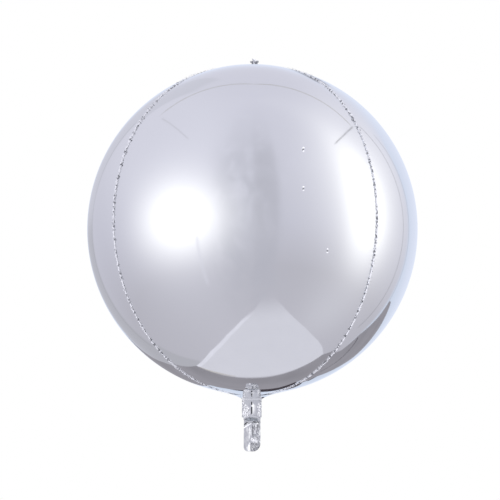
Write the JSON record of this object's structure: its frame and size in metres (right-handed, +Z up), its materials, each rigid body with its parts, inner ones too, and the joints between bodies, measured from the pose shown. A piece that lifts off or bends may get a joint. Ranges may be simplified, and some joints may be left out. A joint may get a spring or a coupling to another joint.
{
  "type": "sphere foil balloon",
  "caption": "Round metallised-film balloon: welded panels with standing seams, a gathered crown tuft and a flat filling tail that folds about its root.",
  "frame": {"origin": "centre of the ball", "axes": "+Z up through the crown tuft, with the tail hanging towards -Z; -Y is out of the middle of the front panel; +X is to the viewer's right from the front"},
  "size_m": [0.5498, 0.5498, 0.6661],
  "materials": {
    "mirror_foil": "mirror-bright metallised polyester film, drawn tight",
    "seam_weld": "bright metallised film, crimped and heat-sealed",
    "tail_foil": "bright metallised film, slack and creased",
    "valve_film": "clear polyethylene valve film"
  },
  "bodies": {
    "ball": {"panel_front": "mirror_foil", "panel_right": "mirror_foil", "panel_back": "mirror_foil", "panel_left": "mirror_foil", "seam_front_right": "seam_weld", "seam_back_right": "seam_weld", "seam_back_left": "seam_weld", "seam_front_left": "seam_weld", "crown_tuft": "seam_weld", "neck_hub": "mirror_foil"},
    "tail": {"crease_weld": "seam_weld", "neck_front_film": "tail_foil", "mouth_hem": "seam_weld", "tail_back_film": "tail_foil", "tail_front_film": "tail_foil", "valve_sleeve": "valve_film", "edge_weld_left": "seam_weld", "edge_weld_right": "seam_weld"}
  },
  "joints": [
    {"name": "tail_fold", "type": "hinge", "parent": "ball", "child": "tail", "pos_m": [0, 0, -0.284], "axis": [1, 0, 0], "range_deg": [-85, 85]}
  ]
}
